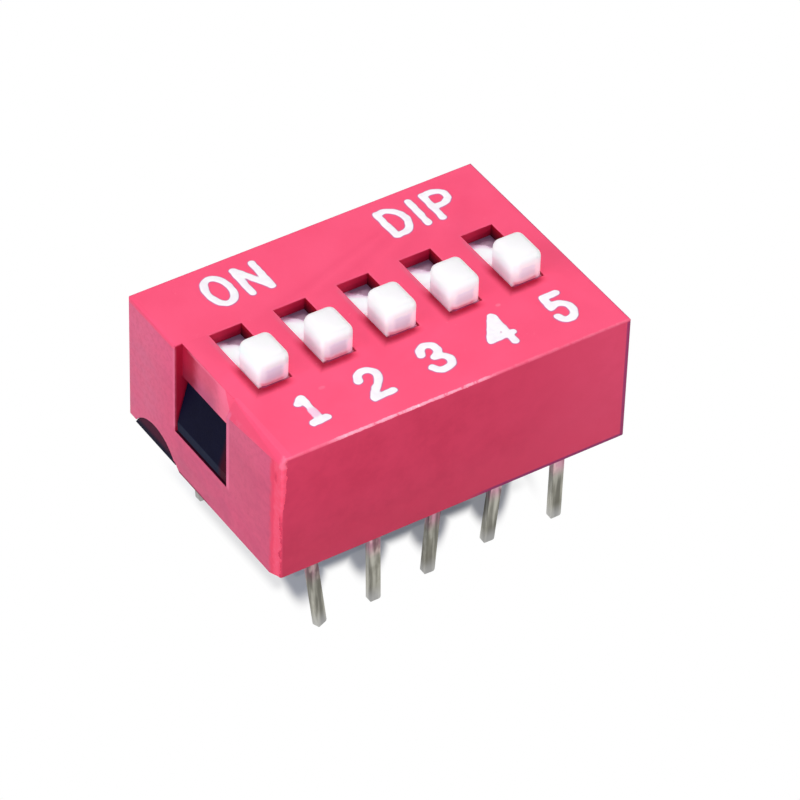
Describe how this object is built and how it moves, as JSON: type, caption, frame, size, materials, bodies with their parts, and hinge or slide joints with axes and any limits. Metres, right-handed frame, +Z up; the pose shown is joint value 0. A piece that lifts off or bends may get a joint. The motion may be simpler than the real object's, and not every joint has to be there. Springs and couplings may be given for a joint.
{
  "type": "dip switch",
  "caption": "Dual in-line slide switch: a red cover over a black base, a row of white slide knobs, and a row of flat pins down each side.",
  "frame": {"origin": "on the board's surface, where the standoff under the base rests, midway between the two rows of pins and at the middle position", "axes": "+X along the row of positions, from 1 to 5; +Y along the travel of the sliders, towards ON; +Z up off the board"},
  "size_m": [0.014, 0.0098, 0.0102],
  "materials": {
    "cover_red": "satin moulded red plastic",
    "base_black": "matt moulded blue-black plastic",
    "slider_white": "satin moulded white plastic",
    "terminal_tin": "dull tin plate on copper alloy strip",
    "contact_gold": "gold plate on copper alloy strip"
  },
  "bodies": {
    "housing": {"cover": "cover_red", "base": "base_black", "terminal_1_number_side": "terminal_tin", "terminal_2_number_side": "terminal_tin", "terminal_3_number_side": "terminal_tin", "terminal_4_number_side": "terminal_tin", "terminal_5_number_side": "terminal_tin", "terminal_1_on_side": "terminal_tin", "terminal_2_on_side": "terminal_tin", "terminal_3_on_side": "terminal_tin", "terminal_4_on_side": "terminal_tin", "terminal_5_on_side": "terminal_tin"},
    "slide_1": {"slider_1": "slider_white", "bridge_1": "contact_gold"},
    "slide_2": {"slider_2": "slider_white", "bridge_2": "contact_gold"},
    "slide_3": {"slider_3": "slider_white", "bridge_3": "contact_gold"},
    "slide_4": {"slider_4": "slider_white", "bridge_4": "contact_gold"},
    "slide_5": {"slider_5": "slider_white", "bridge_5": "contact_gold"}
  },
  "joints": [
    {"name": "slide_1_travel", "type": "slide", "parent": "housing", "child": "slide_1", "axis": [0, 1, 0], "range_m": [0, 0.00168]},
    {"name": "slide_2_travel", "type": "slide", "parent": "housing", "child": "slide_2", "axis": [0, 1, 0], "range_m": [0, 0.00168]},
    {"name": "slide_3_travel", "type": "slide", "parent": "housing", "child": "slide_3", "axis": [0, 1, 0], "range_m": [0, 0.00168]},
    {"name": "slide_4_travel", "type": "slide", "parent": "housing", "child": "slide_4", "axis": [0, 1, 0], "range_m": [0, 0.00168]},
    {"name": "slide_5_travel", "type": "slide", "parent": "housing", "child": "slide_5", "axis": [0, 1, 0], "range_m": [0, 0.00168]}
  ]
}
